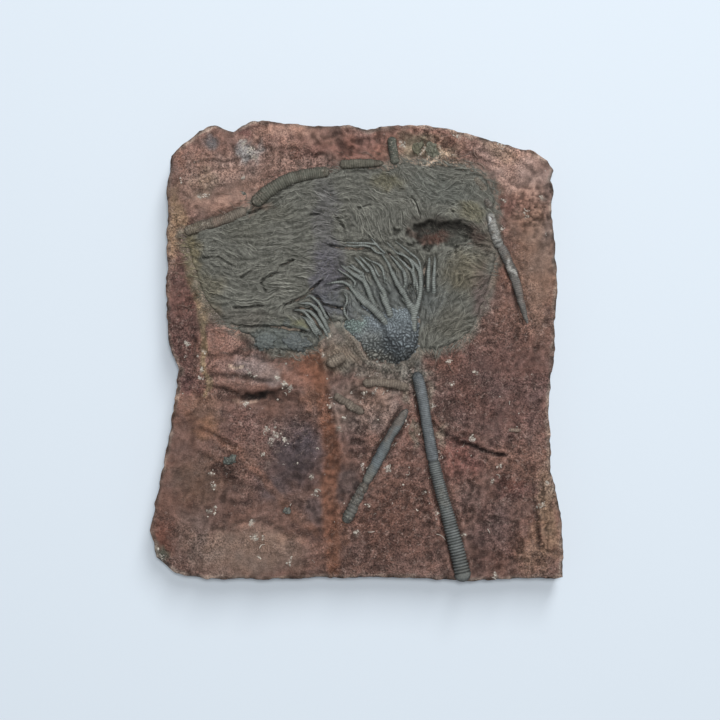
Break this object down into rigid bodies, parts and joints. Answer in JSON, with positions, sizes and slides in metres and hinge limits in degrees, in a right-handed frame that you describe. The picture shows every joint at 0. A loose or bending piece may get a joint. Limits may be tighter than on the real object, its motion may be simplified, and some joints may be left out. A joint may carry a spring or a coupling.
{
  "type": "crinoid fossil",
  "caption": "Fossil sea lily on a slab: crown of feathery arms with its cup and stem, and loose stem lengths, in relief on a broken flat slab of red limestone that lies on its sawn back",
  "frame": {"origin": "centre of the bounding box's underside, in the plane of the slab's sawn back", "axes": "+Z out of the fossil face, the slab lying on its back; +Y to the crown's end of the face; +X to the right of the face"},
  "size_m": [0.268, 0.3, 0.0391],
  "materials": {
    "red_limestone": "matt, broken red-brown limestone with rust veins",
    "grey_calcite": "low satin blue-grey calcite",
    "pinnule_calcite": "matt olive-grey calcite strands",
    "buff_calcite": "matt buff-brown weathered calcite"
  },
  "bodies": {
    "root": {"arm_a_fork": "grey_calcite", "arm_a_trunk": "grey_calcite", "arm_a_twig": "grey_calcite", "arm_b_side": "grey_calcite", "arm_b_trunk": "grey_calcite", "arm_b_twig": "grey_calcite", "arm_c_inner": "grey_calcite", "arm_c_middle": "grey_calcite", "arm_c_outer": "grey_calcite", "arm_c_trunk": "grey_calcite", "arm_d_inner": "grey_calcite", "arm_d_outer": "grey_calcite", "arm_left_lower": "grey_calcite", "arm_left_middle": "grey_calcite", "arm_left_upper": "grey_calcite", "calyx": "grey_calcite", "columnal": "grey_calcite", "loose_stem_left": "buff_calcite", "loose_stem_oblique": "grey_calcite", "loose_stem_right_bend": "grey_calcite", "loose_stem_right_bright": "grey_calcite", "loose_stem_right_long": "grey_calcite", "loose_stem_right_top": "grey_calcite", "loose_stem_small": "buff_calcite", "loose_stem_top": "buff_calcite", "loose_stem_upper_left": "buff_calcite", "matrix_slab": "red_limestone", "nodule_lower_left": "buff_calcite", "nodule_lower_middle": "grey_calcite", "nodule_upper_right": "buff_calcite", "pinnules_left": "pinnule_calcite", "pinnules_right": "pinnule_calcite", "pinnules_top": "pinnule_calcite", "plate_cluster_left": "grey_calcite", "plate_cluster_right": "grey_calcite", "plate_fragment_left": "grey_calcite", "plate_fragment_right": "grey_calcite", "ribbed_stem_across": "buff_calcite", "ribbed_stem_by_calyx": "buff_calcite", "second_stem": "grey_calcite", "second_stem_foot": "grey_calcite", "stem_lower": "grey_calcite", "stem_stub_top": "buff_calcite", "stem_upper": "grey_calcite"}
  },
  "joints": []
}
